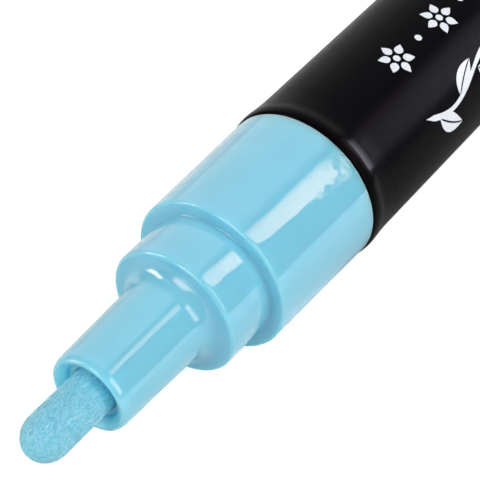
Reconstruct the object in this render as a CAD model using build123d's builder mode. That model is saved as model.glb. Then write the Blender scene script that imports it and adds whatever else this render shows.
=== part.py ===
from build123d import *
from math import cos, pi, sin, sqrt
import os

# A pump-action liquid chalk marker, lying on its side with the cap posted on its tail.
# Sizes are in millimetres. The marker's axis runs along X, nib towards -X, and +Z is up.
# Stations are distances along the axis from the tip of the nib.

# Nib: a felt rod with the same bullet at both ends
nib_diameter = 4.2
nib_length = 24.5
nib_bullet_length = 2.36
nib_exposed_length = 7.35

# Front section: nose, cap collar and grip section in one moulding
nose_length = 11.35
nose_mouth_gap = 1.2
nose_lip_wall = 0.515
nose_lip_taper = 0.2
nose_lip_taper_length = 0.5
nose_lip_blend_share = 1.15
nose_lip_round_share = 0.9
nose_lip_inner_round_share = 0.55
nose_draft = 0.245
nose_root_round_share = 0.735
mouth_funnel_depth = 0.6
mouth_funnel_round_share = 0.5
collar_length = 5.35
collar_height_share = 0.6135
collar_edge_round_share = 0.25
collar_root_round_share = 0.11
section_length = 13.6
section_edge_round_share = 0.19
section_draft = 0.2

# Passage for the nib: a guide ring behind the mouth, then ribs that guide it and let the ink past
mouth_throat_length = 0.35
guide_ring_length = 1.2
guide_ring_gap = 0.1
nib_passage_length = 12.0
nib_ink_gap = 0.6
nib_running_gap = 0.06
guide_rib_count = 6
guide_rib_width = 0.8
guide_rib_length = 8.5
guide_rib_root = 0.2
ink_chamber_gap = 1.1

# Barrel: a straight tube whose mouth swells to a low crown and rounds in again
barrel_diameter = 15.66
barrel_length = 85.0
barrel_wall = 1.13
mouth_bead_height = 0.17
mouth_bead_drop = 0.1
mouth_bead_setback = 1.1
mouth_bead_land = 0.5
mouth_bead_length = 3.3
mouth_crest_blend = 5.0
mouth_bead_blend = 25.0
mouth_round_share = 0.4
barrel_end_round_share = 0.25

# Skirt of the front section, and its seal ring
skirt_length = 10.0
skirt_wall = 1.48
skirt_fit_gap = 0.02
skirt_lead_share = 0.3
seal_groove_setback = 3.5
seal_groove_width = 1.2
seal_groove_depth_share = 0.7
seal_side_gap = 0.02

# Valve: seat, stem, washer, cage and spring
valve_press_gap = 0.02
valve_seat_thickness = 3.0
valve_crest_height = 0.3
valve_crest_width = 0.4
valve_closed_gap = 0.03
valve_travel = 2.0
nib_to_seat_gap = 0.7
nib_to_stem_gap = 0.1
stem_rod_diameter = 2.4
stem_rod_gap = 0.1
stem_flute_count = 4
stem_flute_diameter = 0.9
stem_tail_diameter = 1.6
stem_tail_gap = 0.1
stem_tail_overhang = 0.5
stem_end_round_share = 0.4
poppet_thickness = 1.0
poppet_lap = 0.4
poppet_ink_gap = 0.5
washer_thickness = 0.6
washer_inset = 0.1
cage_flange_thickness = 2.0
cage_wall = 0.75
cage_floor_thickness = 1.2
cage_window_count = 4
cage_window_width = 2.2
cage_window_margin = 1.0
spring_length = 8.6
spring_wire_diameter = 0.4
spring_turns = 7
spring_end_gap = 0.02

# Mixing ball: loose in the ink reservoir, lying on the bore
ball_diameter = 7.0
ball_gap = 0.15
ball_end_gap = 0.4

# Tail plug: closes the barrel and takes the posted cap
plug_length = 8.0
plug_wall = 1.4
plug_flange_thickness = 1.5
plug_flange_round_share = 0.2
plug_end_wall = 1.2
plug_lead_share = 0.3

# Cap and its soft liner
cap_seat_gap = 0.05
cap_fit_gap = 0.08
cap_mouth_land = 3.0
cap_draft = 0.4
cap_mouth_round_share = 0.24
cap_top_thickness = 2.0
cap_top_round_share = 0.75
cap_vent_count = 4
cap_vent_diameter = 0.9
liner_seat_step = 0.23
liner_seat_recess = 0.3
liner_fit_gap = 0.02
liner_flange_thickness = 1.4
liner_wall = 0.8
liner_floor_thickness = 0.8
liner_nose_gap = 0.14
liner_tip_clearance = 2.0
liner_end_gap = 5.0

# Clip on the cap
clip_width = 5.0
clip_thickness = 1.5
clip_gap = 1.2
clip_root_length = 4.0
clip_end_inset = 2.0
clip_mouth_inset = 5.0
clip_bead_length = 1.8
clip_pinch_gap = 0.3
clip_sink_share = 0.35
clip_corner_round_share = 0.8
clip_root_round_share = 0.5

# Every cut runs past the face it opens by this much
cut_overrun = 1.0

# Radii: the barrel's own, then from the nib outwards to the nose, and the collar between the two
barrel_radius = barrel_diameter / 2
bead_radius = barrel_radius + mouth_bead_height
mouth_edge_radius = bead_radius - mouth_bead_drop
barrel_bore = barrel_radius - barrel_wall
section_front_radius = barrel_radius - section_draft
nib_radius = nib_diameter / 2
nib_passage = nib_radius + nib_ink_gap
guide_ring_bore = nib_radius + guide_ring_gap
ink_chamber = nib_radius + ink_chamber_gap
nose_bore = nib_radius + nose_mouth_gap
nose_mouth_radius = nose_bore + nose_lip_wall
nose_lip_radius = nose_mouth_radius - nose_lip_taper
nose_lip_face = nose_lip_radius - nose_bore
nose_lip_blend = nose_lip_taper_length**2 / nose_lip_taper * nose_lip_blend_share
nose_root_radius = nose_mouth_radius + nose_draft
collar_radius = nose_root_radius + (section_front_radius - nose_root_radius) * collar_height_share
nose_step = collar_radius - nose_root_radius
collar_step = section_front_radius - collar_radius
nose_root_round = nose_step * nose_root_round_share
collar_edge_round = nose_step * collar_edge_round_share
skirt_radius = barrel_bore - skirt_fit_gap
skirt_bore = skirt_radius - skirt_wall

# Stations of the pieces that show
nose_station = nib_exposed_length
collar_station = nose_station + nose_length
section_station = collar_station + collar_length
barrel_station = section_station + section_length
barrel_end = barrel_station + barrel_length
plug_flange_end = barrel_end + plug_flange_thickness
spigot_end = plug_flange_end + collar_length
cap_station = plug_flange_end + cap_seat_gap
liner_station = cap_station + collar_length + nose_root_round
cap_step_station = liner_station - liner_seat_recess
liner_depth = nose_length + nib_exposed_length + liner_tip_clearance
liner_end = liner_station + liner_depth + liner_floor_thickness
cap_ceiling = liner_end + liner_end_gap
cap_end = cap_ceiling + cap_top_thickness

# The whole marker is centred on X and rests on the crown of the barrel's mouth and on the cap's mouth
overall_length = cap_end
axis_height = bead_radius
marker_axis = Axis(origin=(0, 0, axis_height), direction=(1, 0, 0))
lathe_plane = Plane(origin=(-overall_length / 2, 0, axis_height), x_dir=(1, 0, 0), z_dir=(0, -1, 0))


def cross_plane(station):
    # The plane square to the axis at a station, with its own x along Y and its own y along Z
    return Plane(origin=(station - overall_length / 2, 0, axis_height), x_dir=(0, 1, 0), z_dir=(1, 0, 0))


def turned_face(corners):
    # The half section of a turned piece: each corner is a station, a radius and a rounding
    points = [(station, radius) for station, radius, rounding in corners]
    roundings = [rounding for station, radius, rounding in corners]
    with BuildLine() as outline:
        FilletPolyline(*points, radius=roundings, close=True)
    make_face(outline.edges())


os.makedirs("parts", exist_ok=True)

# Nib: a quarter of an ellipse turned at each end of a straight rod
rear_bullet = nib_length - nib_bullet_length
with BuildPart() as nib:
    with BuildSketch(lathe_plane):
        with BuildLine():
            EllipticalCenterArc((nib_bullet_length, 0), nib_bullet_length, nib_radius, 90, arc_size=90)
            Line((nib_bullet_length, nib_radius), (rear_bullet, nib_radius))
            EllipticalCenterArc((rear_bullet, 0), nib_bullet_length, nib_radius, 0, arc_size=90)
            Line((nib_length, 0), (0, 0))
        make_face()
    revolve(axis=marker_axis)
nib.part.label = "nib"
export_step(nib.part, "parts/nib.step")

# Front section: the stepped outside, the skirt with its seal groove, and the bore from the rear forwards
funnel_end = nose_station + mouth_funnel_depth
guide_ring_start = funnel_end + mouth_throat_length
guide_ring_end = guide_ring_start + guide_ring_length
passage_end = nose_station + nib_passage_length
valve_station = nib_length + valve_travel + nib_to_seat_gap
skirt_end = barrel_station + skirt_length
seal_groove_start = barrel_station + seal_groove_setback
seal_groove_end = seal_groove_start + seal_groove_width
seal_groove_floor = skirt_radius - skirt_wall * seal_groove_depth_share
with BuildPart() as front_section:
    with BuildSketch(lathe_plane):
        turned_face(
            [
                (nose_station, nose_bore, nose_lip_face * nose_lip_inner_round_share),
                (nose_station, nose_lip_radius, nose_lip_face * nose_lip_round_share),
                (nose_station + nose_lip_taper_length, nose_mouth_radius, nose_lip_blend),
                (collar_station, nose_root_radius, nose_root_round),
                (collar_station, collar_radius, collar_edge_round),
                (section_station, collar_radius, collar_step * collar_root_round_share),
                (section_station, section_front_radius, collar_step * section_edge_round_share),
                (barrel_station, barrel_radius, 0),
                (barrel_station, skirt_radius, 0),
                (seal_groove_start, skirt_radius, 0),
                (seal_groove_start, seal_groove_floor, 0),
                (seal_groove_end, seal_groove_floor, 0),
                (seal_groove_end, skirt_radius, 0),
                (skirt_end, skirt_radius, skirt_wall * skirt_lead_share),
                (skirt_end, skirt_bore, 0),
                (valve_station, skirt_bore, 0),
                (valve_station, ink_chamber, 0),
                (passage_end, ink_chamber, 0),
                (passage_end, nib_passage, 0),
                (guide_ring_end, nib_passage, 0),
                (guide_ring_end, guide_ring_bore, 0),
                (guide_ring_start, guide_ring_bore, 0),
                (guide_ring_start, nib_passage, 0),
                (funnel_end, nib_passage, mouth_funnel_depth * mouth_funnel_round_share),
            ]
        )
    revolve(axis=marker_axis)
    # Ribs run along the passage, their flat crests just clear of the nib
    rib_crest = nib_radius + nib_running_gap
    rib_height = nib_passage - rib_crest + guide_rib_root
    with BuildSketch(cross_plane(passage_end - guide_rib_length)):
        with PolarLocations(rib_crest + rib_height / 2, guide_rib_count):
            Rectangle(rib_height, guide_rib_width)
    extrude(amount=guide_rib_length)
front_section.part.label = "front_section"
export_step(front_section.part, "parts/front_section.step")

# Seal ring: fills its groove and bears on the barrel's bore
seal_section_radius = (barrel_bore - seal_groove_floor) / 2 - seal_side_gap
with BuildPart() as seal_ring:
    with BuildSketch(lathe_plane):
        with Locations(((seal_groove_start + seal_groove_end) / 2, (barrel_bore + seal_groove_floor) / 2)):
            Circle(seal_section_radius)
    revolve(axis=marker_axis)
seal_ring.part.label = "seal_ring"
export_step(seal_ring.part, "parts/seal_ring.step")

# Valve seat: a ring against the step of the bore, with a raised crest round the orifice
seat_radius = skirt_bore - valve_press_gap
seat_end = valve_station + valve_seat_thickness
crest_end = seat_end + valve_crest_height
stem_rod_radius = stem_rod_diameter / 2
orifice = stem_rod_radius + stem_rod_gap
with BuildPart() as valve_seat:
    with BuildSketch(lathe_plane):
        turned_face(
            [
                (valve_station, orifice, 0),
                (valve_station, seat_radius, 0),
                (seat_end, seat_radius, 0),
                (seat_end, orifice + valve_crest_width, 0),
                (crest_end, orifice + valve_crest_width, 0),
                (crest_end, orifice, 0),
            ]
        )
    revolve(axis=marker_axis)
valve_seat.part.label = "valve_seat"
export_step(valve_seat.part, "parts/valve_seat.step")

# Valve stem: a fluted rod behind the nib, a flat poppet, and a tail that runs in the cage
poppet_radius = orifice + valve_crest_width + poppet_lap
cage_bore = poppet_radius + poppet_ink_gap
cage_radius = cage_bore + cage_wall
stem_start = nib_length + nib_to_stem_gap
washer_start = crest_end + valve_closed_gap
poppet_start = washer_start + washer_thickness
poppet_end = poppet_start + poppet_thickness
cage_floor = poppet_end + spring_length
cage_end = cage_floor + cage_floor_thickness
stem_end = cage_end + stem_tail_overhang
stem_tail_radius = stem_tail_diameter / 2
with BuildPart() as valve_stem:
    with BuildSketch(lathe_plane):
        turned_face(
            [
                (stem_start, 0, 0),
                (stem_start, stem_rod_radius, stem_rod_radius * stem_end_round_share),
                (poppet_start, stem_rod_radius, 0),
                (poppet_start, poppet_radius, 0),
                (poppet_end, poppet_radius, 0),
                (poppet_end, stem_tail_radius, 0),
                (stem_end, stem_tail_radius, stem_tail_radius * stem_end_round_share),
                (stem_end, 0, 0),
            ]
        )
    revolve(axis=marker_axis)
    with BuildSketch(cross_plane(stem_start - cut_overrun)):
        with PolarLocations(stem_rod_radius, stem_flute_count):
            Circle(stem_flute_diameter / 2)
    extrude(amount=washer_start - stem_start + cut_overrun, mode=Mode.SUBTRACT)
valve_stem.part.label = "valve_stem"
export_step(valve_stem.part, "parts/valve_stem.step")

# Valve seal: a rubber washer on the rod, against the poppet
with BuildPart() as valve_seal:
    with BuildSketch(lathe_plane):
        turned_face(
            [
                (washer_start, stem_rod_radius + valve_press_gap, 0),
                (washer_start, poppet_radius - washer_inset, 0),
                (poppet_start, poppet_radius - washer_inset, 0),
                (poppet_start, stem_rod_radius + valve_press_gap, 0),
            ]
        )
    revolve(axis=marker_axis)
valve_seal.part.label = "valve_seal"
export_step(valve_seal.part, "parts/valve_seal.step")

# Valve cage: a flanged cup behind the seat, with windows for the ink and a hole that guides the stem
window_start = seat_end + cage_flange_thickness + cage_window_margin
window_end = cage_floor - cage_window_margin
with BuildPart() as valve_cage:
    with BuildSketch(lathe_plane):
        turned_face(
            [
                (seat_end, cage_bore, 0),
                (seat_end, seat_radius, 0),
                (seat_end + cage_flange_thickness, seat_radius, 0),
                (seat_end + cage_flange_thickness, cage_radius, 0),
                (cage_end, cage_radius, cage_wall / 2),
                (cage_end, stem_tail_radius + stem_tail_gap, 0),
                (cage_floor, stem_tail_radius + stem_tail_gap, 0),
                (cage_floor, cage_bore, 0),
            ]
        )
    revolve(axis=marker_axis)
    with BuildSketch(cross_plane(window_start)):
        with PolarLocations((cage_bore + cage_radius) / 2, cage_window_count):
            Rectangle(cage_wall + cut_overrun, cage_window_width)
    extrude(amount=window_end - window_start, mode=Mode.SUBTRACT)
valve_cage.part.label = "valve_cage"
export_step(valve_cage.part, "parts/valve_cage.step")

# Valve spring: round wire on a helix, each quarter turn drawn as two tangent arcs
spring_wire_radius = spring_wire_diameter / 2
spring_radius = (stem_tail_radius + poppet_radius) / 2
coil_start = poppet_end + spring_end_gap + spring_wire_radius
coil_rise = cage_floor - poppet_end - 2 * (spring_end_gap + spring_wire_radius)
quarter_turns = 4 * spring_turns


def coil_point(quarter):
    # The helix: the angle and the station grow evenly with the count of quarter turns
    angle = quarter * pi / 2
    station = coil_start + coil_rise * quarter / quarter_turns
    across = spring_radius * cos(angle)
    upwards = axis_height + spring_radius * sin(angle)
    return Vector(station - overall_length / 2, across, upwards)


def coil_direction(quarter):
    angle = quarter * pi / 2
    rise = coil_rise / quarter_turns
    sweep_rate = spring_radius * pi / 2
    return Vector(rise, -sweep_rate * sin(angle), sweep_rate * cos(angle)).normalized()


with BuildPart() as valve_spring:
    with BuildLine():
        for quarter in range(quarter_turns):
            near = coil_point(quarter)
            far = coil_point(quarter + 1)
            leaving = coil_direction(quarter)
            arriving = coil_direction(quarter + 1)
            # Legs along both tangents of the length that makes the middle leg twice as long
            span = far - near
            turn = 1 - leaving.dot(arriving)
            reach = span.dot(leaving + arriving)
            leg = (sqrt(reach**2 + 2 * turn * span.dot(span)) - reach) / (2 * turn)
            near_knee = near + leaving * leg
            far_knee = far - arriving * leg
            middle = (near_knee + far_knee) / 2
            TangentArc(near, middle, tangent=leaving)
            TangentArc(middle, far, tangent=far_knee - near_knee)
    with BuildSketch(Plane(origin=coil_point(0), z_dir=coil_direction(0))):
        Circle(spring_wire_radius)
    sweep()
valve_spring.part.label = "valve_spring"
export_step(valve_spring.part, "parts/valve_spring.step")

# The least gap between neighbouring turns, measured on points of the helix half a turn or more apart
steps_per_quarter = 8
coil_points = [coil_point(step / steps_per_quarter) for step in range(quarter_turns * steps_per_quarter + 1)]
half_turn_steps = 2 * steps_per_quarter
coil_gap = min(
    (later - earlier).length
    for place, earlier in enumerate(coil_points)
    for later in coil_points[place + half_turn_steps :]
) - spring_wire_diameter
print(f"valve spring: least gap between turns {coil_gap:.3f} mm")

# Mixing ball: on the bottom of the bore, at the tail end of the reservoir
plug_start = barrel_end - plug_length
ball_radius = ball_diameter / 2
ball_station = plug_start - ball_end_gap - ball_radius
ball_height = axis_height - barrel_bore + ball_gap + ball_radius
with BuildPart(Plane(origin=(ball_station - overall_length / 2, 0, ball_height))) as mixing_ball:
    Sphere(ball_radius)
mixing_ball.part.label = "mixing_ball"
export_step(mixing_ball.part, "parts/mixing_ball.step")

# Barrel: the crown of the mouth falls away to a straight tube
crest_station = barrel_station + mouth_bead_setback
with BuildPart() as barrel:
    with BuildSketch(lathe_plane):
        turned_face(
            [
                (barrel_station, barrel_bore, 0),
                (barrel_station, mouth_edge_radius, (mouth_edge_radius - barrel_bore) * mouth_round_share),
                (crest_station, bead_radius, mouth_crest_blend),
                (crest_station + mouth_bead_land, bead_radius, mouth_crest_blend),
                (barrel_station + mouth_bead_length, barrel_radius, mouth_bead_blend),
                (barrel_end, barrel_radius, barrel_wall * barrel_end_round_share),
                (barrel_end, barrel_bore, 0),
            ]
        )
    revolve(axis=marker_axis)
barrel.part.label = "barrel"
export_step(barrel.part, "parts/barrel.step")

# Tail plug: a cup in the barrel's tail, a flange flush with the barrel, and a spigot the size of the collar
plug_radius = barrel_bore - skirt_fit_gap
plug_bore = plug_radius - plug_wall
flange_round = plug_flange_thickness * plug_flange_round_share
with BuildPart() as tail_plug:
    with BuildSketch(lathe_plane):
        turned_face(
            [
                (plug_start, plug_bore, 0),
                (plug_start, plug_radius, plug_wall * plug_lead_share),
                (barrel_end, plug_radius, 0),
                (barrel_end, barrel_radius, flange_round),
                (plug_flange_end, barrel_radius, flange_round),
                (plug_flange_end, collar_radius, 0),
                (spigot_end, collar_radius, collar_edge_round),
                (spigot_end, 0, 0),
                (spigot_end - plug_end_wall, 0, 0),
                (spigot_end - plug_end_wall, plug_bore, 0),
            ]
        )
    revolve(axis=marker_axis)
tail_plug.part.label = "tail_plug"
export_step(tail_plug.part, "parts/tail_plug.step")

# Cap: a tapered cup whose mouth fits the collar and the spigot alike, with air vents beside the liner
cap_mouth_radius = bead_radius
cap_top_radius = cap_mouth_radius - cap_draft
cap_skirt_bore = collar_radius + cap_fit_gap
cap_bore = cap_skirt_bore - liner_seat_step
liner_bore = nose_root_radius + liner_nose_gap
liner_radius = liner_bore + liner_wall
clip_end = cap_end - clip_end_inset
clip_root = clip_end - clip_root_length
clip_tip = cap_station + clip_mouth_inset
clip_inside = cap_mouth_radius + clip_gap
clip_outside = clip_inside + clip_thickness
clip_pinch = cap_mouth_radius + clip_pinch_gap
clip_base = cap_bore + (cap_top_radius - cap_bore) * clip_sink_share
clip_round = clip_thickness * clip_corner_round_share
with BuildPart() as cap:
    with BuildSketch(lathe_plane):
        turned_face(
            [
                (cap_station, cap_skirt_bore, 0),
                (cap_station, cap_mouth_radius, (cap_mouth_radius - cap_skirt_bore) * cap_mouth_round_share),
                (cap_station + cap_mouth_land, cap_mouth_radius, 0),
                (cap_end, cap_top_radius, cap_top_thickness * cap_top_round_share),
                (cap_end, 0, 0),
                (cap_ceiling, 0, 0),
                (cap_ceiling, cap_bore, 0),
                (cap_step_station, cap_bore, 0),
                (cap_step_station, cap_skirt_bore, 0),
            ]
        )
    revolve(axis=marker_axis)
    with BuildSketch(cross_plane(cap_ceiling - cut_overrun)):
        with PolarLocations((liner_radius + cap_bore) / 2, cap_vent_count, start_angle=45):
            Circle(cap_vent_diameter / 2)
    extrude(amount=cap_top_thickness + 2 * cut_overrun, mode=Mode.SUBTRACT)
    # Clip: a springy arm over the top of the cap, with a bead at its free end
    with BuildSketch(lathe_plane):
        turned_face(
            [
                (clip_end, clip_base, 0),
                (clip_end, clip_outside, clip_round),
                (clip_tip, clip_outside, clip_thickness * clip_root_round_share),
                (clip_tip, clip_pinch, clip_pinch_gap),
                (clip_tip + clip_bead_length, clip_pinch, clip_pinch_gap),
                (clip_tip + 2 * clip_bead_length, clip_inside, clip_thickness),
                (clip_root, clip_inside, clip_gap * clip_root_round_share),
                (clip_root, clip_base, 0),
            ]
        )
    extrude(amount=clip_width / 2, both=True)
cap.part.label = "cap"
export_step(cap.part, "parts/cap.step")

# Cap liner: a thin cup for the nose and nib, held by its flange
with BuildPart() as cap_liner:
    with BuildSketch(lathe_plane):
        turned_face(
            [
                (liner_station, liner_bore, liner_wall / 2),
                (liner_station, cap_bore - liner_fit_gap, 0),
                (liner_station + liner_flange_thickness, cap_bore - liner_fit_gap, 0),
                (liner_station + liner_flange_thickness, liner_radius, 0),
                (liner_end, liner_radius, liner_wall),
                (liner_end, 0, 0),
                (liner_end - liner_floor_thickness, 0, 0),
                (liner_end - liner_floor_thickness, liner_bore, 0),
            ]
        )
    revolve(axis=marker_axis)
cap_liner.part.label = "cap_liner"
export_step(cap_liner.part, "parts/cap_liner.step")

print(f"overall length {overall_length:.2f} mm, axis height {axis_height:.2f} mm")
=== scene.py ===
from contextlib import contextmanager
import bmesh
import bpy
import numpy as np
from mathutils import Matrix, Vector


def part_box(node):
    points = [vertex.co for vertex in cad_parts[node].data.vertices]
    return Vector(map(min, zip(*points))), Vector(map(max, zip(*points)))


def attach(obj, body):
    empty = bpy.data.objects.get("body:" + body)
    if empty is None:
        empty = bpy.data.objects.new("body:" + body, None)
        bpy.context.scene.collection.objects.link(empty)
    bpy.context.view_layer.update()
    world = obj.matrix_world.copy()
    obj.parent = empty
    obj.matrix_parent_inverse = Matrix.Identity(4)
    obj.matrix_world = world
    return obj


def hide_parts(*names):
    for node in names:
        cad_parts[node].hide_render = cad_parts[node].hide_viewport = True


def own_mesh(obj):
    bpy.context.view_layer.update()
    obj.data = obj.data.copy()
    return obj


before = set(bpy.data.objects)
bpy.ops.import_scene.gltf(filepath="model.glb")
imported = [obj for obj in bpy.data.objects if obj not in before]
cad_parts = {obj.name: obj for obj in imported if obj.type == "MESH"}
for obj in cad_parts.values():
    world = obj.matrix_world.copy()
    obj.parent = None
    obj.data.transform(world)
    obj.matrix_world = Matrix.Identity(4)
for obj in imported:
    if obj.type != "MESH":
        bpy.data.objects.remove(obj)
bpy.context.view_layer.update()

# A liquid chalk marker on its side. Sizes of pieces are millimetres, the stage and the scene are in metres.
mm = 0.001
scene = bpy.context.scene
scene.view_settings.view_transform = "Standard"

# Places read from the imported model: the axis runs along X at this height, stations count from the nib's tip
nibLow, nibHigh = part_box("nib")
frontLow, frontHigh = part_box("front_section")
barrelLow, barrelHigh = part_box("barrel")
plugLow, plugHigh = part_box("tail_plug")
capLow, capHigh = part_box("cap")
linerLow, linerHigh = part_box("cap_liner")
springLow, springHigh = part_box("valve_spring")
axisHeight = (barrelLow.z + barrelHigh.z) / 2
tipX = nibLow.x


def station(x):
    # millimetres along the marker from the nib's tip
    return (x - tipX) / mm


# Mesh helpers: merging distances in metres, and shares of a straight stretch that get points of their own
meshSpec = {"segments": 288, "arcSteps": 10, "sharpAngle": 40, "mergeReach": 1e-7, "sliverReach": 1e-8,
            "supportShares": (0, 0.02, 0.08, 0.25, 0.5, 0.75, 0.92, 0.98)}
fineLathe = {"segments": 320, "arcSteps": 12}


def scenePoints(along, across, upward):
    # station, distance to the right of the axis and height above it, as a list of places in the scene
    places = np.broadcast_arrays(tipX + along * mm, -across * mm, axisHeight + upward * mm)
    return np.stack(places, axis=-1).reshape(-1, 3)


def roundAxis(along, radius, angle):
    # places at a radius from the axis and an angle round it, angle zero pointing up
    return scenePoints(along, radius * np.sin(angle), radius * np.cos(angle))


def gridFaces(rows, columns, closedRows, closedColumns):
    # quads between neighbouring grid points, wrapping round where the grid is closed
    i = np.arange(rows if closedRows else rows - 1)[:, None]
    j = np.arange(columns if closedColumns else columns - 1)[None, :]
    nextI, nextJ = (i + 1) % rows, (j + 1) % columns
    corners = [i * columns + j, nextI * columns + j, nextI * columns + nextJ, i * columns + nextJ]
    return np.stack(np.broadcast_arrays(*corners), axis=-1).reshape(-1, 4)


def repeatedFaces(faces, pointCount, copies):
    # the same faces for every copy of a shape that has this many points
    return (faces[None] + pointCount * np.arange(copies)[:, None, None]).reshape(-1, 4)


@contextmanager
def editing(mesh):
    # the mesh opened for edits, which are written back at the end
    shell = bmesh.new()
    shell.from_mesh(mesh)
    yield shell
    shell.to_mesh(mesh)
    shell.free()


def smoothShade(mesh, sharpAngle):
    # smooth but for edges sharper than an angle
    mesh.shade_smooth()
    mesh.set_sharp_from_angle(angle=np.radians(sharpAngle))


def makePiece(name, points, faces, sharpAngle=meshSpec["sharpAngle"]):
    # one mesh from whole arrays of places and faces: doubles at the poles merged, faces outwards
    mesh = bpy.data.meshes.new(name)
    mesh.vertices.add(len(points))
    mesh.vertices.foreach_set("co", np.ascontiguousarray(points, dtype=np.float32).ravel())
    mesh.loops.add(faces.size)
    mesh.loops.foreach_set("vertex_index", faces.astype(np.int32).ravel())
    mesh.polygons.add(len(faces))
    mesh.polygons.foreach_set("loop_start", np.arange(0, faces.size, faces.shape[1], dtype=np.int32))
    mesh.update(calc_edges=True)
    with editing(mesh) as shell:
        bmesh.ops.remove_doubles(shell, verts=shell.verts, dist=meshSpec["mergeReach"])
        bmesh.ops.dissolve_degenerate(shell, edges=shell.edges, dist=meshSpec["sliverReach"])
        bmesh.ops.recalc_face_normals(shell, faces=shell.faces)
    smoothShade(mesh, sharpAngle)
    piece = bpy.data.objects.new(name, mesh)
    scene.collection.objects.link(piece)
    return piece


def closeEnds(piece):
    # a flat lid over every open end, then all faces outwards
    with editing(piece.data) as shell:
        bmesh.ops.holes_fill(shell, edges=shell.edges, sides=0)
        bmesh.ops.recalc_face_normals(shell, faces=shell.faces)


def roundedOutline(corners, arcSteps, closed=True):
    # straight stretches between corners, each corner an arc of its own rounding, with extra points beside
    # the arcs
    places = np.array([corner[:2] for corner in corners], float)
    count = len(places)
    runs = []
    for index, (_, _, rounding) in enumerate(corners):
        here = places[index]
        isEnd = not closed and index in (0, count - 1)
        if rounding == 0 or isEnd:
            runs.append(here[None])
            continue
        back = places[index - 1] - here
        ahead = places[(index + 1) % count] - here
        back, ahead = back / np.linalg.norm(back), ahead / np.linalg.norm(ahead)
        half = np.arccos(np.clip(back @ ahead, -1, 1)) / 2
        bisector = (back + ahead) / np.linalg.norm(back + ahead)
        centre = here + bisector * rounding / np.sin(half)
        start = here + back * rounding / np.tan(half) - centre
        turn = np.pi - 2 * half
        side = np.sign(start[0] * -bisector[1] - start[1] * -bisector[0])
        angles = side * np.linspace(0, turn, arcSteps + 1)
        spun = np.stack([np.cos(angles) * start[0] - np.sin(angles) * start[1],
                         np.sin(angles) * start[0] + np.cos(angles) * start[1]], axis=1)
        runs.append(centre + spun)
    outline = []
    shares = np.array(meshSpec["supportShares"])[:, None]
    for index, run in enumerate(runs):
        outline.append(run[:-1])
        if index == count - 1 and not closed:
            outline.append(run[-1:])
            break
        target = runs[(index + 1) % count][0]
        outline.append(run[-1] + shares * (target - run[-1]))
    return np.concatenate(outline)


def lathe(name, corners, closed=True, segments=meshSpec["segments"], arcSteps=meshSpec["arcSteps"]):
    # the outline of (station, radius, rounding) turned once round the axis
    profile = roundedOutline(corners, arcSteps, closed)
    angles = np.linspace(0, 2 * np.pi, segments, endpoint=False)
    points = roundAxis(profile[:, :1], profile[:, 1:], angles)
    return makePiece(name, points, gridFaces(len(profile), segments, closed, True))


def joinInto(piece, *others):
    # the others' meshes become part of the piece's own mesh
    with editing(piece.data) as merged:
        for each in others:
            merged.from_mesh(each.data)
            bpy.data.objects.remove(each)
    return piece


def dress(piece, material, body, slot, *nodes):
    # one finish for the whole piece, the body it moves with, and the solids it stands for
    piece.data.materials.clear()
    piece.data.materials.append(material)
    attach(piece, body)
    if nodes:
        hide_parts(*nodes)
    return piece


# Material helpers

def linear(*bytes255):
    # a screen colour, 0 to 255, as the linear colour a shader takes
    share = np.array(bytes255) / 255
    return (*np.where(share <= 0.04045, share / 12.92, ((share + 0.055) / 1.055) ** 2.4), 1.0)


def emptyTree(owner):
    # the owner's node tree without the nodes it starts with
    owner.use_nodes = True
    owner.node_tree.nodes.clear()
    return owner.node_tree


def addNode(tree, kind, values=None, **settings):
    # a node with its settings and the plain values of its inputs
    made = tree.nodes.new(kind)
    for key, value in settings.items():
        setattr(made, key, value)
    for key, value in (values or {}).items():
        made.inputs[key].default_value = value
    return made


def feed(tree, socket, source):
    # links another node's output to the socket, or sets a plain value on it
    if isinstance(source, bpy.types.NodeSocket):
        tree.links.new(source, socket)
    else:
        socket.default_value = source


def calculated(tree, operation, *terms):
    # the result of one operation, each term a plain value or another node's output
    made = addNode(tree, "ShaderNodeMath", operation=operation)
    for socket, term in zip(made.inputs, terms):
        feed(tree, socket, term)
    return made.outputs[0]


def remapped(tree, value, first, second, before=0.0, after=1.0):
    # runs from before to after while the value runs from first to second, and stays there outside
    made = addNode(tree, "ShaderNodeMapRange",
                   {"From Min": first, "From Max": second, "To Min": before, "To Max": after})
    tree.links.new(value, made.inputs["Value"])
    return made.outputs["Result"]


def mixed(tree, factor, first, second, kind="RGBA"):
    # the first colour or value, going over into the second with the factor
    made = addNode(tree, "ShaderNodeMix", data_type=kind)
    for label, source in (("Factor", factor), ("A", first), ("B", second)):
        feed(tree, made.inputs[label], source)
    return made.outputs["Result"]


def placeParts(tree, kind, output):
    # the X and the Y of a place or direction that a node gives
    split = addNode(tree, "ShaderNodeSeparateXYZ")
    tree.links.new(addNode(tree, kind).outputs[output], split.inputs[0])
    return split.outputs["X"], split.outputs["Y"]


def newGroup(name, inputs, outputs):
    # an empty node group with named inputs, their first values, and named outputs
    group = bpy.data.node_groups.new(name, "ShaderNodeTree")
    for label, kind, value in inputs:
        group.interface.new_socket(label, in_out="INPUT", socket_type=kind).default_value = value
    for label, kind in outputs:
        group.interface.new_socket(label, in_out="OUTPUT", socket_type=kind)
    return group, group.nodes.new("NodeGroupInput"), group.nodes.new("NodeGroupOutput")


# What all finishes share: the detail of their noises, and how much of a noise's range counts
finishSpec = {"toneDetail": 4.0, "wispDetail": 3.0, "roughDetail": 3.0, "reliefDetail": 2.0,
              "toneSwing": (0.25, 0.75), "roughSwing": (0.3, 0.7)}
evenStretch = (1, 1, 1)


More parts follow.
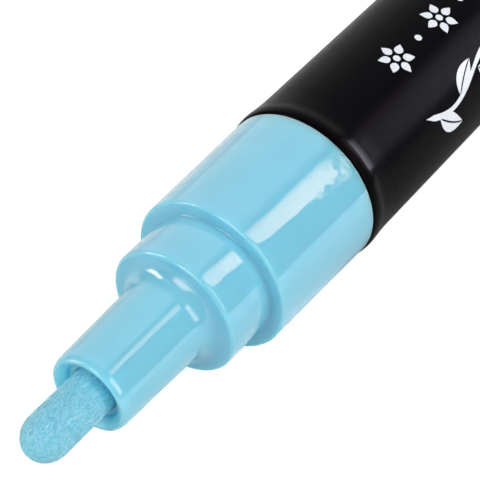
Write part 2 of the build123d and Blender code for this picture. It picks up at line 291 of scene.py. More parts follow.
def stretchedNoise():
    # soft noise on object coordinates, each of which is first multiplied by a factor of its own
    group, given, out = newGroup(
        "stretchedNoise",
        [("Scale", "NodeSocketFloat", 300.0), ("Stretch", "NodeSocketVector", evenStretch),
         ("Detail", "NodeSocketFloat", 2.0), ("Swirl", "NodeSocketFloat", 0.0)],
        [("Value", "NodeSocketFloat")])
    coords = addNode(group, "ShaderNodeTexCoord")
    shaped = addNode(group, "ShaderNodeVectorMath", operation="MULTIPLY")
    noise = addNode(group, "ShaderNodeTexNoise")
    links = group.links
    links.new(coords.outputs["Object"], shaped.inputs[0])
    links.new(given.outputs["Stretch"], shaped.inputs[1])
    links.new(shaped.outputs[0], noise.inputs["Vector"])
    for label, socket in (("Scale", "Scale"), ("Detail", "Detail"), ("Swirl", "Distortion")):
        links.new(given.outputs[label], noise.inputs[socket])
    links.new(noise.outputs["Fac"], out.inputs["Value"])
    return group


def toneDrift():
    # a colour that grows a little lighter and darker with a value, round its own mean
    group, given, out = newGroup(
        "toneDrift",
        [("Colour", "NodeSocketColor", (0.5, 0.5, 0.5, 1)), ("Value", "NodeSocketFloat", 0.5),
         ("Amount", "NodeSocketFloat", 0.1)],
        [("Colour", "NodeSocketColor")])
    swing = remapped(group, given.outputs["Value"], *finishSpec["toneSwing"], -1.0, 1.0)
    factor = calculated(group, "MULTIPLY_ADD", swing, given.outputs["Amount"], 1.0)
    shade = addNode(group, "ShaderNodeVectorMath", operation="SCALE")
    group.links.new(given.outputs["Colour"], shade.inputs[0])
    group.links.new(factor, shade.inputs["Scale"])
    group.links.new(shade.outputs[0], out.inputs["Colour"])
    return group


def axisDistance():
    # how far a point lies from the marker's axis
    group, _, out = newGroup("axisDistance", [], [("Value", "NodeSocketFloat")])
    coords = addNode(group, "ShaderNodeTexCoord")
    centred = addNode(group, "ShaderNodeVectorMath", {1: (0, 0, axisHeight)}, operation="SUBTRACT")
    flat = addNode(group, "ShaderNodeVectorMath", {1: (0, 1, 1)}, operation="MULTIPLY")
    size = addNode(group, "ShaderNodeVectorMath", operation="LENGTH")
    group.links.new(coords.outputs["Object"], centred.inputs[0])
    group.links.new(centred.outputs[0], flat.inputs[0])
    group.links.new(flat.outputs[0], size.inputs[0])
    group.links.new(size.outputs["Value"], out.inputs["Value"])
    return group


noiseGroup = stretchedNoise()
driftGroup = toneDrift()
distanceGroup = axisDistance()


def placeNoise(tree, scale, stretch, detail, swirl=0.0):
    # the shared noise with this finish's own values
    values = {"Scale": scale, "Stretch": stretch, "Detail": detail, "Swirl": swirl}
    return addNode(tree, "ShaderNodeGroup", values, node_tree=noiseGroup).outputs["Value"]


def alongValue(tree, origin, places, before, after):
    # a value that changes steadily along the marker between two places, counted from an origin
    x, _ = placeParts(tree, "ShaderNodeTexCoord", "Object")
    return remapped(tree, x, *(origin + np.array(places) * mm), before, after)


def finish(name, spec):
    # a moulded, drawn or felted finish: drifting tone, drifting roughness, and reliefs of several sizes
    material = bpy.data.materials.new(name)
    tree = emptyTree(material)
    links = tree.links
    shader = addNode(tree, "ShaderNodeBsdfPrincipled", spec.get("sockets"))
    out = addNode(tree, "ShaderNodeOutputMaterial")
    links.new(shader.outputs[0], out.inputs["Surface"])
    ground = spec["colour"]
    if "root" in spec:
        # the ground colour turns into a lighter, more saturated blue away from the nib's tip: painted light
        # that lifts the shade the nose's lip casts on the nib's root
        root = spec["root"]
        ground = mixed(tree, alongValue(tree, tipX, root["places"], 0.0, 1.0), ground, root["colour"])
    tone = addNode(tree, "ShaderNodeGroup", {"Amount": spec["toneAmount"]}, node_tree=driftGroup)
    patches = placeNoise(tree, spec["toneScale"], spec.get("toneStretch", evenStretch),
                         finishSpec["toneDetail"])
    feed(tree, tone.inputs["Colour"], ground)
    links.new(patches, tone.inputs["Value"])
    colour = tone.outputs["Colour"]
    if "wisps" in spec:
        # lighter curling wisps over the ground colour
        wisp = spec["wisps"]
        curls = placeNoise(tree, wisp["scale"], wisp["stretch"], finishSpec["wispDetail"], wisp["swirl"])
        colour = mixed(tree, remapped(tree, curls, *wisp["levels"]), colour, wisp["colour"])
    if "polish" in spec:
        # a clear coat on a band round the barrel, fading out to both sides
        polish = spec["polish"]
        rise = alongValue(tree, barrelLow.x, polish["rise"], 0.0, polish["weight"])
        fall = alongValue(tree, barrelLow.x, polish["fall"], polish["weight"], 0.0)
        links.new(calculated(tree, "MINIMUM", rise, fall), shader.inputs["Coat Weight"])
    uneven = placeNoise(tree, spec["roughScale"], spec.get("roughStretch", evenStretch),
                        finishSpec["roughDetail"])
    rough = remapped(tree, uneven, *finishSpec["roughSwing"], *spec["roughness"])
    if "bore" in spec:
        # near the axis the surface is as rough as the core pin that moulded it, and its colour is a lighter,
        # more saturated blue: painted light that lifts the shade inside the nose's mouth
        bore = spec["bore"]
        reach = addNode(tree, "ShaderNodeGroup", node_tree=distanceGroup).outputs["Value"]
        edge, outside = bore["radius"] * mm, (bore["radius"] + bore["edge"]) * mm
        inside = remapped(tree, reach, edge, outside, bore["roughness"], 0.0)
        rough = calculated(tree, "MAXIMUM", inside, rough)
        share = calculated(tree, "MULTIPLY", inside, 1 / bore["roughness"])
        colour = mixed(tree, share, colour, bore["colour"])
    links.new(colour, shader.inputs["Base Color"])
    links.new(rough, shader.inputs["Roughness"])
    relief = None
    for scale, depth, stretch in spec["reliefs"]:
        bump = addNode(tree, "ShaderNodeBump", {"Strength": 1.0, "Distance": depth * mm})
        links.new(placeNoise(tree, scale, stretch, finishSpec["reliefDetail"]), bump.inputs["Height"])
        if relief is not None:
            links.new(relief, bump.inputs["Normal"])
        relief = bump.outputs["Normal"]
    if relief is not None:
        links.new(relief, shader.inputs["Normal"])
    return material


# Finishes: each relief is a noise scale, a depth in millimetres and a stretch
glossSpec = {
    "colour": linear(130, 204, 226), "toneAmount": 0.02, "toneScale": 260,
    "roughness": (0.03, 0.06), "roughScale": 900,
    "reliefs": [(160, 0.03, (0.6, 1, 1)), (560, 0.022, (0.7, 1, 1)), (2600, 0.0006, evenStretch)],
    "sockets": {"IOR": 1.5, "Subsurface Weight": 0.8, "Subsurface Scale": 0.0017,
                "Subsurface Radius": (0.85, 1.1, 1.22)}}
gloss = finish("glossyBlue", glossSpec)
frontGloss = finish("glossyBlueFront", {
    **glossSpec,
    # bore colour: painted light inside the nose's mouth
    "bore": {"radius": 3.22, "edge": 0.06, "roughness": 0.5, "colour": linear(132, 219, 243)}})
satin = finish("satinBlack", {
    "colour": linear(6, 5, 8), "toneAmount": 0.12, "toneScale": 1500,
    "roughness": (0.26, 0.33), "roughScale": 1800,
    "polish": {"rise": (0.65, 1.2), "fall": (1.25, 2.0), "weight": 0.135},
    "reliefs": [(5200, 0.0012, evenStretch)],
    "sockets": {"IOR": 1.078, "Coat Roughness": 0.12}})
felt = finish("soakedFelt", {
    "colour": linear(104, 192, 216), "toneAmount": 0.15, "toneScale": 4300, "toneStretch": (0.45, 1, 1),
    # root: painted light, a lighter and more saturated blue where the nib sits in the nose's shade
    "root": {"colour": linear(100, 199, 223), "places": (5.6, 7.4)},
    "wisps": {"colour": linear(158, 218, 233), "scale": 6000, "stretch": (0.36, 1, 1), "swirl": 0.8,
              "levels": (0.43, 0.65)},
    "roughness": (0.75, 0.95), "roughScale": 3000,
    "reliefs": [(5200, 0.010, (0.5, 1, 1)), (12000, 0.005, evenStretch)],
    "sockets": {"Subsurface Weight": 0.7, "Subsurface Scale": 0.0016, "Subsurface Radius": (0.75, 1.0, 1.1),
                "Sheen Weight": 0.35, "Sheen Roughness": 0.5, "Sheen Tint": linear(150, 216, 232)}})
fibre = finish("feltFibre", {
    "colour": linear(188, 241, 253), "toneAmount": 0.14, "toneScale": 2500,
    "roughness": (0.6, 0.8), "roughScale": 3000,
    "reliefs": []})
ink = finish("printedWhite", {
    "colour": linear(228, 232, 240), "toneAmount": 0.05, "toneScale": 2500,
    "roughness": (0.4, 0.5), "roughScale": 2000,
    "reliefs": [(6000, 0.003, evenStretch)]})
natural = finish("naturalPlastic", {
    "colour": linear(226, 226, 220), "toneAmount": 0.03, "toneScale": 400,
    "roughness": (0.28, 0.4), "roughScale": 900,
    "reliefs": [(900, 0.004, evenStretch)],
    "sockets": {"Subsurface Weight": 0.15, "Subsurface Scale": 0.001, "Subsurface Radius": (1, 1, 1)}})
rubber = finish("sealRubber", {
    "colour": linear(30, 30, 31), "toneAmount": 0.1, "toneScale": 1500,
    "roughness": (0.55, 0.7), "roughScale": 1500,
    "reliefs": [(3000, 0.006, evenStretch)]})
steel = finish("brightSteel", {
    "colour": linear(200, 201, 204), "toneAmount": 0.04, "toneScale": 900,
    "roughness": (0.12, 0.24), "roughScale": 2500, "roughStretch": (1, 4, 4),
    "reliefs": [(4000, 0.001, evenStretch)],
    "sockets": {"Metallic": 1.0}})
print("materials ready")

# Camera: the point on the axis that it is set by lies this far ahead, right and down of the lens
cameraSpec = {"elevation": 44.19, "heading": 35.5, "lens": 140.29, "sensor": 36, "clip": (0.01, 50),
              "ahead": 160.0, "right": -2.56, "down": 3.08, "aimStation": 24.05}
aimPoint = Vector((tipX + cameraSpec["aimStation"] * mm, 0, axisHeight))


def placeCamera(spec):
    # forward, right and down follow from elevation and heading, and the lens stands back along them
    tilt, turn = np.radians(spec["elevation"]), np.radians(spec["heading"])
    forward = Vector((np.cos(tilt) * np.cos(turn), np.cos(tilt) * np.sin(turn), -np.sin(tilt)))
    right = Vector((np.sin(turn), -np.cos(turn), 0))
    down = forward.cross(right)
    data = bpy.data.cameras.new("camera")
    data.lens, data.sensor_width = spec["lens"], spec["sensor"]
    data.clip_start, data.clip_end = spec["clip"]
    camera = bpy.data.objects.new("camera", data)
    scene.collection.objects.link(camera)
    place = aimPoint - (forward * spec["ahead"] + right * spec["right"] + down * spec["down"]) * mm
    turned = Matrix((right, -down, -forward)).transposed().to_4x4()
    camera.matrix_world = Matrix.Translation(place) @ turned
    scene.camera = camera


placeCamera(cameraSpec)

# Front section: nose, collar and grip section outside, nib passage inside
frontSpec = {"noseLength": 11.35, "noseMouth": 3.815, "noseRoot": 4.06, "noseRootRound": 1.61,
             "noseBore": 3.3, "lipTaper": 0.2, "lipTaperLength": 0.5, "lipBlend": 1.4375,
             "lipRound": 0.2835, "lipInnerRound": 0.173, "funnelDepth": 0.6, "funnelRound": 0.3,
             "throat": 0.35, "ringBore": 2.14, "ringLength": 1.2, "ringEdge": 0.08,
             "collarLength": 5.35, "collarRadius": 6.25, "collarEdge": 0.36, "collarRootRound": 0.152,
             "sectionFront": 7.63, "sectionRear": 7.83, "sectionEdge": 0.262, "sectionRearEdge": 0.02,
             "skirtRadius": 6.68, "skirtBore": 5.2, "skirtLead": 0.444,
             "passage": 2.7, "passageLength": 12.0, "chamber": 3.2, "chamberEnd": 27.2,
             "ribCount": 6, "ribWidth": 0.8, "ribLength": 8.5, "ribCrest": 2.16, "ribRoot": 0.2}


def frontSection(spec):
    # an outline turned round the axis, with straight ribs inside
    nose = station(frontLow.x)
    collar = nose + spec["noseLength"]
    section = collar + spec["collarLength"]
    shoulder = station(barrelLow.x)
    funnelEnd = nose + spec["funnelDepth"]
    ringStart = funnelEnd + spec["throat"]
    ringEnd = ringStart + spec["ringLength"]
    passageEnd = nose + spec["passageLength"]
    body = lathe("frontSection", [
        (nose, spec["noseBore"], spec["lipInnerRound"]),
        (nose, spec["noseMouth"] - spec["lipTaper"], spec["lipRound"]),
        (nose + spec["lipTaperLength"], spec["noseMouth"], spec["lipBlend"]),
        (collar, spec["noseRoot"], spec["noseRootRound"]),
        (collar, spec["collarRadius"], spec["collarEdge"]),
        (section, spec["collarRadius"], spec["collarRootRound"]),
        (section, spec["sectionFront"], spec["sectionEdge"]),
        (shoulder, spec["sectionRear"], spec["sectionRearEdge"]),
        (shoulder, spec["skirtRadius"], 0),
        (station(frontHigh.x), spec["skirtRadius"], spec["skirtLead"]),
        (station(frontHigh.x), spec["skirtBore"], 0),
        (spec["chamberEnd"], spec["skirtBore"], 0),
        (spec["chamberEnd"], spec["chamber"], 0),
        (passageEnd, spec["chamber"], 0),
        (passageEnd, spec["passage"], 0),
        (ringEnd, spec["passage"], 0),
        (ringEnd, spec["ringBore"], 0),
        (ringStart, spec["ringBore"], spec["ringEdge"]),
        (ringStart, spec["passage"], spec["ringEdge"]),
        (funnelEnd, spec["passage"], spec["funnelRound"])], **fineLathe)
    # ribs: short bars along the passage, flat crests just clear of the nib
    turns = np.arange(spec["ribCount"]) * 2 * np.pi / spec["ribCount"] + np.pi / 2
    radial = np.array([spec["ribCrest"], spec["passage"] + spec["ribRoot"]])
    tangent = np.array([-0.5, 0.5]) * spec["ribWidth"]
    along = np.array([passageEnd - spec["ribLength"], passageEnd])
    turn, s, r, t = np.meshgrid(turns, along, radial, tangent, indexing="ij")
    points = scenePoints(s, r * np.sin(turn) + t * np.cos(turn), r * np.cos(turn) - t * np.sin(turn))
    bar = np.array([[0, 1, 3, 2], [4, 6, 7, 5], [0, 4, 5, 1], [2, 3, 7, 6], [0, 2, 6, 4], [1, 5, 7, 3]])
    ribs = makePiece("ribs", points, repeatedFaces(bar, bar.max() + 1, spec["ribCount"]))
    return joinInto(body, ribs)


dress(frontSection(frontSpec), frontGloss, "marker", "coloured_plastic", "front_section")
print("front section done")

# Barrel: straight tube whose mouth swells to a low crown and rounds in again
barrelSpec = {"radius": 7.83, "bore": 6.7, "mouthRound": 0.48, "crownDrop": 0.1, "crownStart": 0.7,
              "crownLand": 0.5, "crownBlend": 4.0, "crownLength": 3.0, "tubeBlend": 22.0, "endRound": 0.28}


def barrelTube(spec):
    # an outline turned round the axis
    mouth, end = station(barrelLow.x), station(barrelHigh.x)
    crown = (barrelHigh.z - barrelLow.z) / 2 / mm
    crest = mouth + spec["crownStart"]
    return lathe("barrelTube", [
        (mouth, spec["bore"], 0),
        (mouth, crown - spec["crownDrop"], spec["mouthRound"]),
        (crest, crown, spec["crownBlend"]),
        (crest + spec["crownLand"], crown, spec["crownBlend"]),
        (mouth + spec["crownLength"], spec["radius"], spec["tubeBlend"]),
        (end, spec["radius"], spec["endRound"]),
        (end, spec["bore"], 0)], **fineLathe)


dress(barrelTube(barrelSpec), satin, "marker", "barrel_plastic", "barrel")

# Printed sprigs: thin white ink on the barrel, wavy stems with split leaves, rows of small flowers and dots
printSpec = {"inkHeight": 0.014, "inkSink": 0.006, "inkColumns": 5, "seed": 21,
             "start": 48.0, "end": 112.0, "turns": (58, -122), "wave": 16.0, "sway": 1.2,
             "stemWidth": 0.5, "stemSteps": 480, "stemUneven": 0.16, "stemRipples": (61, 23),
             "stemTaper": 60, "firstLeaf": 1.5, "leafStep": 3.7, "leafLength": 4.4, "leafShortest": 0.82,
             "leafWidth": 1.9, "leafWidths": (0.9, 1.05), "leafSplit": 0.2, "leafTip": 0.01, "leafLean": 44,
             "leafSpread": 7, "leafBend": 0.25, "leafGap": 0.5, "leafSteps": 26, "leafPeak": 0.8,
             "leafRound": 0.9, "flowerAside": 6.0, "flowerStep": 7.4, "petals": 6, "petalStart": 0.62,
             "petalLength": 1.25, "petalWidth": 0.86, "petalPeak": 0.7, "firstDot": 2.2, "lastDot": 2,
             "dotRadius": 0.42, "dotSizes": (0.85, 1.1), "dotSteps": 17}


def inkShapes(name, paths, left, right, spec):
    # flat shapes on the barrel: each follows a path of (station, distance round) and reaches to both sides
    # of it, its top and bottom sheets meeting along the edges and at both ends
    count, steps = left.shape
    heading = np.gradient(paths, axis=1)
    heading /= np.linalg.norm(heading, axis=-1, keepdims=True)
    aside = np.stack([-heading[..., 1], heading[..., 0]], axis=-1)
    share = np.linspace(0, 1, spec["inkColumns"])
    reach = left[..., None] + (right - left)[..., None] * share
    sheet = paths[:, :, None] + reach[..., None] * aside[:, :, None]
    ring = np.concatenate([sheet, sheet[:, :, ::-1]], axis=2)
    radius = barrelSpec["radius"] + np.repeat([spec["inkHeight"], -spec["inkSink"]], len(share))
    points = roundAxis(ring[..., 0], radius, ring[..., 1] / barrelSpec["radius"])
    around = 2 * len(share)
    faces = repeatedFaces(gridFaces(steps, around, False, True), steps * around, count)
    return makePiece(name, points, faces)


def stemPath(along, turn, spec):
    # a sine wave along the barrel round one line of it
    sway = spec["sway"] * np.sin(2 * np.pi * (along - spec["start"]) / spec["wave"])
    return np.stack([along, barrelSpec["radius"] * np.radians(turn) + sway], axis=-1)


def printedSprig(turn, spec):
    rng = np.random.default_rng(spec["seed"])
    # stem: an uneven line, pointed at both ends
    t = np.linspace(0, 1, spec["stemSteps"])
    stem = stemPath(spec["start"] + (spec["end"] - spec["start"]) * t, turn, spec)[None]
    quick, slow = spec["stemRipples"]
    uneven = 1 + spec["stemUneven"] * np.sin(quick * t) * np.sin(slow * t + 1)
    taper = np.clip(np.minimum(t, 1 - t) * spec["stemTaper"], 0, 1)
    half = (spec["stemWidth"] / 2 * uneven * taper)[None]
    line = inkShapes("stem", stem, half, -half, spec)
    # leaves: alternate sides of the stem, each two blades beside a bare midrib
    roots = np.arange(spec["start"] + spec["firstLeaf"], spec["end"] - spec["leafLength"], spec["leafStep"])
    side = np.where(np.arange(len(roots)) % 2 == 0, 1.0, -1.0)
    spread = rng.uniform(-spec["leafSpread"], spec["leafSpread"], len(roots))
    lean = np.radians(spec["leafLean"] + spread) * side
    length = spec["leafLength"] * rng.uniform(spec["leafShortest"], 1.0, len(roots))
    t = np.linspace(0, 1, spec["leafSteps"])
    away = spec["leafGap"] + length[:, None] * t
    bent = lean[:, None] * (1 - spec["leafBend"] * t)
    toward = np.stack([np.cos(bent), np.sin(bent)], axis=-1)
    leaf = stemPath(roots, turn, spec)[:, None] + away[..., None] * toward
    arch = np.sin(np.pi * t ** spec["leafPeak"]) ** spec["leafRound"]
    blade = spec["leafWidth"] / 2 * arch * rng.uniform(*spec["leafWidths"], len(roots))[:, None]
    rib = blade * spec["leafSplit"] / (2 * blade + spec["leafSplit"])
    blade[:, [0, -1]] = rib[:, [0, -1]] = spec["leafTip"]
    upper = inkShapes("upperBlades", leaf, blade, rib, spec)
    lower = inkShapes("lowerBlades", leaf, -rib, -blade, spec)
    # flowers: a ring of pointed petals round every other dot of a row beside the stem
    row = barrelSpec["radius"] * np.radians(turn) - spec["flowerAside"]
    firstDot, lastDot = spec["start"] + spec["firstDot"], spec["end"] - spec["lastDot"]
    dotPlaces = np.arange(firstDot, lastDot, spec["flowerStep"] / 2)
    middle = np.stack([dotPlaces, np.full_like(dotPlaces, row)], axis=-1)
    petalTurns = 2 * np.pi * np.arange(spec["petals"]) / spec["petals"]
    spin = petalTurns + rng.uniform(0, 1, len(middle[::2]))[:, None]
    away = spec["petalStart"] + spec["petalLength"] * t
    outward = np.stack([np.cos(spin), np.sin(spin)], axis=-1)[:, :, None]
    petal = (middle[::2, None, None] + away[:, None] * outward).reshape(-1, len(t), 2)
    wide = spec["petalWidth"] / 2 * np.sin(np.pi * t ** spec["petalPeak"])
    wide = np.broadcast_to(wide, petal.shape[:2]).copy()
    wide[:, [0, -1]] = 0
    petals = inkShapes("petals", petal, wide, -wide, spec)
    # dots: one in each flower and one between two flowers
    t = np.linspace(-1, 1, spec["dotSteps"])
    size = spec["dotRadius"] * rng.uniform(*spec["dotSizes"], len(middle))[:, None]
    spot = middle[:, None] + np.stack(np.broadcast_arrays(size * t, 0 * size * t), axis=-1)
    arch = size * np.sqrt(1 - t ** 2)
    dots = inkShapes("dots", spot, arch, -arch, spec)
    return joinInto(line, upper, lower, petals, dots)


barrelPrint = joinInto(*[printedSprig(turn, printSpec) for turn in printSpec["turns"]])
barrelPrint.name = barrelPrint.data.name = "barrelPrint"
dress(barrelPrint, ink, "marker", "barrel_plastic")
print("barrel done")

# Nib: a felt rod with a bullet at each end, its skin finely uneven and covered with short fibres
nibSpec = {"bullet": 2.36, "rings": 260, "segments": 300, "evenShare": 0.45, "crowdedShare": 0.55,
           "sharpAngle": 180, "feltSeed": 11, "relief": 0.01, "reliefRange": (-2.5, 1.4),
           "fibreLength": 0.22, "fibreWidth": 0.09, "fibreShare": 0.8, "grainBlur": 1.0, "grainShare": 0.4,
           "hairSeed": 12, "hairs": 3200, "hairSides": 3, "hairRadius": 0.011,
           "hairTaper": (0, 1, 1, 0.9, 0), "hairLength": 0.7, "hairShortest": 0.35, "hairLift": 0.03,
           "hairLowest": 0.1, "hairArched": 0.5, "hairSlant": 0.6, "hairCurl": 0.4, "firstHair": 0.15,
           "exposed": 7.6, "poleRadius": 0.5}
nibLength = (nibHigh.x - nibLow.x) / mm
nibHalf = (nibHigh.z - nibLow.z) / 2 / mm


def fibreField(rng, rows, columns, rowBlur, columnBlur):
    # random values smoothed by a bell curve in both directions, wrapping round, with unit spread
    rowWave = np.fft.fftfreq(rows)[:, None] * rowBlur
    columnWave = np.fft.fftfreq(columns)[None, :] * columnBlur
    bell = np.exp(-2 * np.pi ** 2 * (rowWave ** 2 + columnWave ** 2))
    field = np.fft.ifft2(np.fft.fft2(rng.normal(size=(rows, columns))) * bell).real
    return field / field.std()


def nibRadius(along, bullet):
    # an ellipse's quarter at both ends of a straight rod
    fromEnd = np.clip(np.minimum(along, nibLength - along) / bullet, 0, 1)
    return nibHalf * np.sqrt(1 - (1 - fromEnd) ** 2)


def nibFelt(spec):
    # the rod turned round the axis, its skin sunk by fibres and grain, less so where it is thin
    rng = np.random.default_rng(spec["feltSeed"])
    rings, segments = spec["rings"], spec["segments"]
    # rings crowd towards both ends, so that the bullets stay round
    share = np.linspace(0, 1, rings)
    crowded = share - np.sin(2 * np.pi * share) / (2 * np.pi)
    along = nibLength * (spec["evenShare"] * share + spec["crowdedShare"] * crowded)
    bare = nibRadius(along, spec["bullet"])
    angles = np.linspace(0, 2 * np.pi, segments, endpoint=False)
    rowBlur = spec["fibreLength"] / (nibLength / rings)
    columnBlur = spec["fibreWidth"] * segments / (2 * np.pi * nibHalf)
    fibres = fibreField(rng, rings, segments, rowBlur, columnBlur)
    grain = fibreField(rng, rings, segments, spec["grainBlur"], spec["grainBlur"])
    lowest, highest = spec["reliefRange"]
    raised = np.clip(spec["fibreShare"] * fibres + spec["grainShare"] * grain, lowest, highest) - highest
    turned = bare[:, None] + spec["relief"] * raised * (bare / nibHalf)[:, None]
    points = roundAxis(along[:, None], turned, angles)
    return makePiece("nibFelt", points, gridFaces(rings, segments, False, True), spec["sharpAngle"])


def nibHairs(spec):
    # surface fibres: thin three-sided threads, pointed at both ends, that lie on the skin at many slants
    # and are lifted in the middle or at one end
    rng = np.random.default_rng(spec["hairSeed"])
    thick = spec["hairRadius"] * np.array(spec["hairTaper"])
    count, rings, sides = spec["hairs"], len(thick), spec["hairSides"]
    t = np.linspace(0, 1, rings)
    start = rng.uniform(spec["firstHair"], spec["exposed"] - spec["hairLength"], count)[:, None]
    turn = rng.uniform(0, 2 * np.pi, count)[:, None]
    slant = rng.normal(0, spec["hairSlant"], count)[:, None]
    curl = rng.normal(0, spec["hairCurl"], count)[:, None]
    reach = spec["hairLength"] * rng.uniform(spec["hairShortest"], 1.0, count)[:, None]
    rise = spec["hairLift"] * rng.uniform(spec["hairLowest"], 1.0, count)[:, None]
    arched = rng.random(count)[:, None] < spec["hairArched"]
    lift = rise * np.where(arched, np.sin(np.pi * t), t ** 2)
    along = start + reach * t * np.cos(slant)
    skin = nibRadius(along, spec["bullet"])
    turningRadius = np.maximum(skin, spec["poleRadius"])
    around = turn + reach * (t * np.sin(slant) + curl * t ** 2) / turningRadius
    height = skin - spec["relief"] + lift
    side = np.arange(sides) * 2 * np.pi / sides
    # each ring is a small triangle across the thread, in the plane of the skin's normal and its tangent
    outward = height[..., None] + thick[:, None] * np.cos(side)
    sideways = around[..., None] + thick[:, None] * np.sin(side) / turningRadius[..., None]
    faces = repeatedFaces(gridFaces(rings, sides, False, True), rings * sides, count)
    return makePiece("nibHairs", roundAxis(along[..., None], outward, sideways), faces, spec["sharpAngle"])


dress(nibFelt(nibSpec), felt, "writing_nib", "felt", "nib")
dress(nibHairs(nibSpec), fibre, "writing_nib", "felt")
print("nib done")

# Tail plug: cup in the barrel, flange, spigot for the cap
plugSpec = {"radius": 6.68, "bore": 5.28, "lead": 0.42, "flangeEdge": 0.3, "flangeRadius": 7.83,
            "flangeThickness": 1.5, "spigot": 6.25, "spigotEdge": 0.547, "endWall": 1.2}


def tailPlug(spec):
    # an outline turned round the axis
    start, end = station(plugLow.x), station(plugHigh.x)
    flange = station(barrelHigh.x)
    flangeEnd = flange + spec["flangeThickness"]
    return lathe("tailPlug", [
        (end, 0, 0),
        (end, spec["spigot"], spec["spigotEdge"]),
        (flangeEnd, spec["spigot"], 0),
        (flangeEnd, spec["flangeRadius"], spec["flangeEdge"]),
        (flange, spec["flangeRadius"], spec["flangeEdge"]),
        (flange, spec["radius"], 0),
        (start, spec["radius"], spec["lead"]),
        (start, spec["bore"], 0),
        (end - spec["endWall"], spec["bore"], 0),
        (end - spec["endWall"], 0, 0)], closed=False)


dress(tailPlug(plugSpec), gloss, "marker", "coloured_plastic", "tail_plug")

# Cap: tapered cup with air vents in its closed end
capSpec = {"skirtBore": 6.33, "mouthRound": 0.4, "land": 3.0, "landBlend": 4.0, "draft": 0.4,
           "topRound": 1.5, "topThickness": 2.0, "bore": 6.1, "boreEdge": 0.3, "stepDepth": 6.66,
           "ventCount": 4, "ventDiameter": 0.9, "ventCircle": 5.55, "ventSides": 32, "drillExcess": 1}
cutReach = 2e-7  # merging distance after the cut, in metres
capRim = (capHigh.y - capLow.y) / 2 / mm


def capShell(spec):
    # an outline turned round the axis, less the vents
    mouth, end = station(capLow.x), station(capHigh.x)
    floor, step = end - spec["topThickness"], mouth + spec["stepDepth"]
    shell = lathe("capShell", [
        (end, 0, 0),
        (end, capRim - spec["draft"], spec["topRound"]),
        (mouth + spec["land"], capRim, spec["landBlend"]),
        (mouth, capRim, spec["mouthRound"]),
        (mouth, spec["skirtBore"], spec["boreEdge"]),
        (step, spec["skirtBore"], 0),
        (step, spec["bore"], 0),
        (floor, spec["bore"], spec["boreEdge"]),
        (floor, 0, 0)], closed=False)
    # vents: round rods on a circle, cut from the closed end
    turns = np.pi / 4 + np.arange(spec["ventCount"]) * 2 * np.pi / spec["ventCount"]
    ring = np.linspace(0, 2 * np.pi, spec["ventSides"], endpoint=False)
    ends = np.array([floor - spec["drillExcess"], end + spec["drillExcess"]])
    turn, s, a = np.meshgrid(turns, ends, ring, indexing="ij")
    across = spec["ventCircle"] * np.sin(turn) + spec["ventDiameter"] / 2 * np.sin(a)
    upward = spec["ventCircle"] * np.cos(turn) + spec["ventDiameter"] / 2 * np.cos(a)
    faces = repeatedFaces(gridFaces(2, len(ring), False, True), 2 * len(ring), len(turns))
    drill = makePiece("drill", scenePoints(s, across, upward), faces)
    closeEnds(drill)
    cut = shell.modifiers.new("vents", "BOOLEAN")
    cut.object, cut.operation, cut.solver = drill, "DIFFERENCE", "EXACT"
    drilled = bpy.data.meshes.new_from_object(shell.evaluated_get(bpy.context.evaluated_depsgraph_get()))
    shell.modifiers.clear()
    shell.data = drilled
    with editing(drilled) as clean:
        bmesh.ops.remove_doubles(clean, verts=clean.verts, dist=cutReach)
        bmesh.ops.dissolve_degenerate(clean, edges=clean.edges, dist=cutReach)
    smoothShade(drilled, meshSpec["sharpAngle"])
    bpy.data.objects.remove(drill)
    return shell


# Clip: moulded with the cap, with a bead that pinches near its tip
clipSpec = {"width": 5.0, "thickness": 1.495, "gap": 1.2, "root": 4.0, "endInset": 2.0, "mouthInset": 5.0,
            "bead": 1.8, "pinch": 0.3, "base": 6.63, "bevel": 0.35, "taper": 0.8, "corner": 0.42,
            "backRound": 1.2, "tipRound": 0.75, "beadRound": 0.6, "beadBlend": 1.5, "rootRound": 0.6,
            "arcSteps": 8, "bevelSteps": 7, "sharpAngle": 50}


def capClip(spec):
    # the clip's side outline, its outer corners rounder than the bevel, carried across its width and drawn
    # in along the bevels, narrower towards the tip
    back = station(capHigh.x) - spec["endInset"]
    root = back - spec["root"]
    tip = station(capLow.x) + spec["mouthInset"]
    inside = capRim + spec["gap"]
    outside = inside + spec["thickness"]
    pinch = capRim + spec["pinch"]
    outline = roundedOutline([
        (back, spec["base"], spec["corner"]),
        (back, outside, spec["backRound"]),
        (tip, outside, spec["tipRound"]),
        (tip, pinch, spec["corner"]),
        (tip + spec["bead"], pinch, spec["beadRound"]),
        (tip + 2 * spec["bead"], inside, spec["beadBlend"]),
        (root, inside, spec["rootRound"]),
        (root, spec["base"], spec["corner"])], spec["arcSteps"])
    after = np.roll(outline, -1, axis=0)
    edge = after - np.roll(outline, 1, axis=0)
    normal = np.stack([edge[:, 1], -edge[:, 0]], axis=1) / np.linalg.norm(edge, axis=1, keepdims=True)
    normal *= np.sign(np.sum(outline[:, 0] * after[:, 1] - after[:, 0] * outline[:, 1]))
    bend = np.linspace(0, np.pi / 2, spec["bevelSteps"])
    inset = spec["bevel"] * np.concatenate([1 - np.sin(bend), 1 - np.sin(bend[::-1])])
    reach = spec["width"] / 2 - spec["bevel"] * (1 - np.cos(bend))
    across = np.concatenate([-reach, reach[::-1]])
    drawn = outline[None] - inset[:, None, None] * normal[None]
    share = np.clip((drawn[..., 0] - tip) / (back - tip), 0, 1)
    narrowing = spec["taper"] + (1 - spec["taper"]) * share
    points = scenePoints(drawn[..., 0], across[:, None] * narrowing, drawn[..., 1])
    faces = gridFaces(len(across), len(outline), False, True)
    clip = makePiece("capClip", points, faces, spec["sharpAngle"])
    closeEnds(clip)
    smoothShade(clip.data, spec["sharpAngle"])
    return clip


dress(capShell(capSpec), gloss, "cap_set", "coloured_plastic", "cap")
dress(capClip(clipSpec), gloss, "cap_set", "coloured_plastic")

